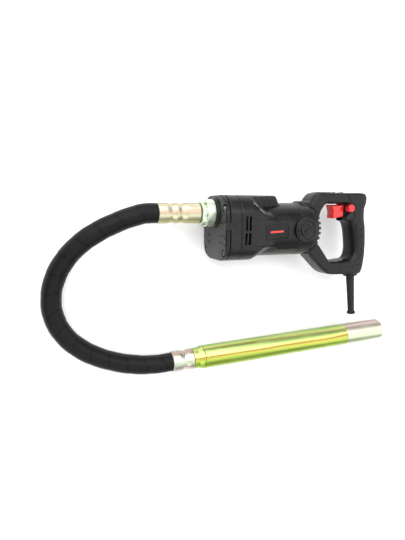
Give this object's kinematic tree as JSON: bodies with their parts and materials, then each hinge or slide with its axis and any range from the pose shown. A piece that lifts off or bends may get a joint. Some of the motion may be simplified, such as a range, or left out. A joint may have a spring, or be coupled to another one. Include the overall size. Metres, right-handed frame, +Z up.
{
  "type": "concrete vibrator",
  "caption": "Hand-held electric concrete vibrator: black geared motor unit with a D-handle, a flexible hose and a plated steel poker.",
  "frame": {"origin": "on the floor, in the middle of the gear case's flat side, straight under the motor shaft", "axes": "+X along the motor from the hose end to the D-handle, +Y to the tool's own top, +Z up from the floor that the tool lies on"},
  "size_m": [0.5634, 0.2698, 0.09],
  "materials": {
    "case_plastic": "black glass-filled nylon, fine spark texture, satin on raised edges",
    "grip_rubber": "black soft elastomer, dull",
    "red_plastic": "bright red moulded plastic, semi-gloss",
    "hose_rubber": "black wrapped rubber with a faint spiral seam, satin",
    "pale_zinc": "pale zinc plate with a green and pink tint",
    "gold_zinc": "light yellow zinc plate, polished by the crimping",
    "green_zinc": "yellow-green chromate on turned steel, iridescent",
    "steel": "bright machined steel",
    "dark_steel": "black oxide steel",
    "laminations": "stacked electrical steel",
    "copper": "enamelled copper wire and copper bars",
    "brass": "pressed brass",
    "carbon": "pressed carbon",
    "nylon": "black nylon, smooth"
  },
  "bodies": {
    "motor_unit": {"gear_cover": "case_plastic", "gear_case": "case_plastic", "gear_cover_screw_1": "steel", "gear_cover_screw_2": "steel", "gear_cover_screw_3": "steel", "gear_cover_screw_4": "steel", "nose_spigot": "steel", "coupling_nut": "pale_zinc", "motor_ferrule": "gold_zinc", "hose_fitting": "steel", "hose_cover": "hose_rubber", "hose_liner": "dark_steel", "flex_core": "steel", "spindle_bearing_front": "steel", "spindle_bearing_rear": "steel", "motor_bearing_front": "steel", "motor_bearing_rear": "steel", "motor_housing": "case_plastic", "air_baffle": "nylon", "stator_core": "laminations", "field_coil_front": "copper", "field_coil_rear": "copper", "brush_holder_near": "brass", "brush_holder_far": "brass", "carbon_brush_near": "carbon", "carbon_brush_far": "carbon", "brush_spring_near": "steel", "brush_spring_far": "steel", "brush_cap_near": "nylon", "brush_cap_far": "nylon", "handle_shell_near": "case_plastic", "handle_shell_far": "case_plastic", "handle_screw_1": "dark_steel", "handle_screw_2": "dark_steel", "handle_screw_3": "dark_steel", "grip_pad": "grip_rubber", "switch_body": "nylon", "cable_boot": "grip_rubber", "cable_clamp": "nylon"},
    "armature": {"armature_shaft": "steel", "armature_core": "laminations", "armature_winding_front": "copper", "armature_winding_rear": "copper", "commutator": "copper", "cooling_fan": "nylon", "pinion": "steel"},
    "spindle": {"output_spindle": "dark_steel", "output_gear": "steel", "core_drive_end": "steel"},
    "head": {"head_ferrule": "pale_zinc", "head_adapter": "green_zinc", "head_tube": "green_zinc", "head_tip": "pale_zinc", "head_seal": "grip_rubber", "head_bearing_rear": "steel", "head_bearing_front": "steel"},
    "rotor": {"eccentric_rotor": "dark_steel", "core_head_end": "steel"},
    "trigger": {"trigger": "red_plastic"},
    "lock_button": {"lock_button": "red_plastic"}
  },
  "joints": [
    {"name": "armature_spin", "type": "hinge", "parent": "motor_unit", "child": "armature", "pos_m": [0.057, 0, 0.045], "axis": [1, 0, 0], "continuous": true},
    {"name": "spindle_spin", "type": "hinge", "parent": "motor_unit", "child": "spindle", "pos_m": [-0.004, 0.024, 0.045], "axis": [1, 0, 0], "continuous": true},
    {"name": "hose_flex", "type": "hinge", "parent": "motor_unit", "child": "head", "pos_m": [-0.118, -0.09, 0.0175], "axis": [0, 0, 1], "range_deg": [-15, 2], "deforming": ["hose_cover", "hose_liner", "flex_core"]},
    {"name": "eccentric_spin", "type": "hinge", "parent": "head", "child": "rotor", "pos_m": [0.10701, -0.19063, 0.0175], "axis": [0.999, 0.0454, 0], "continuous": true},
    {"name": "trigger_pull", "type": "slide", "parent": "motor_unit", "child": "trigger", "axis": [1, 0, 0], "range_m": [0, 0.006], "stiffness_N_per_m": 600, "springref_m": -0.004},
    {"name": "lock_press", "type": "slide", "parent": "motor_unit", "child": "lock_button", "axis": [0, 0, -1], "range_m": [0, 0.003], "stiffness_N_per_m": 500, "springref_m": -0.003}
  ],
  "couplings": [
    {"joint": "spindle_spin", "follows": "armature_spin", "ratio": -0.41176},
    {"joint": "eccentric_spin", "follows": "armature_spin", "ratio": 0.41176}
  ]
}
